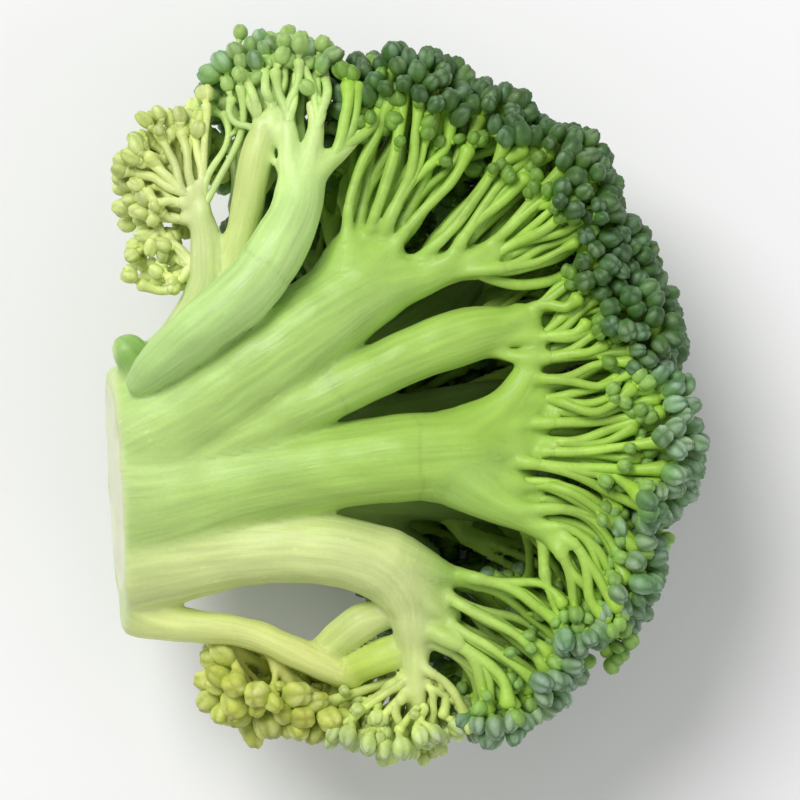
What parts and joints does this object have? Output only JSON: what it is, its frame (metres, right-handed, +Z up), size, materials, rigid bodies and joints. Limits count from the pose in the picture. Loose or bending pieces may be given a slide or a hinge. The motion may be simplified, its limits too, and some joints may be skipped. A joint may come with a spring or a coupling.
{
  "type": "broccoli floret",
  "caption": "Fresh broccoli floret lying on its bud side: a short cut stem forks into pale green branches that carry rounded clusters of small blue-green buds.",
  "frame": {"origin": "on the surface it lies on, below the middle of its bounding box", "axes": "+Z up, out of the bare branching side; -X towards the cut end of the stem; +Y along the width of the fan of branches"},
  "size_m": [0.058, 0.0684, 0.0326],
  "materials": {
    "stalk_flesh": "smooth, faintly waxy pale green plant skin",
    "buds": "matt blue-green flower buds with a greyish waxy bloom",
    "young_buds": "matt yellow-green flower buds on pale fine stalks"
  },
  "bodies": {
    "root": {"stalk": "stalk_flesh", "bud_cluster_left": "young_buds", "bud_cluster_top_left": "buds", "bud_cluster_top": "buds", "bud_cluster_top_right": "buds", "bud_cluster_right_upper": "buds", "bud_cluster_right": "buds", "bud_cluster_right_lower": "buds", "bud_cluster_bottom_right": "buds", "bud_cluster_bottom": "buds", "bud_cluster_side_shoot": "young_buds", "bud_cluster_under_top": "buds", "bud_cluster_under_top_right": "buds", "bud_cluster_under_right": "buds", "bud_cluster_under_bottom_right": "buds", "bud_cluster_under_bottom": "buds", "bud_cluster_under_middle": "buds"}
  },
  "joints": []
}
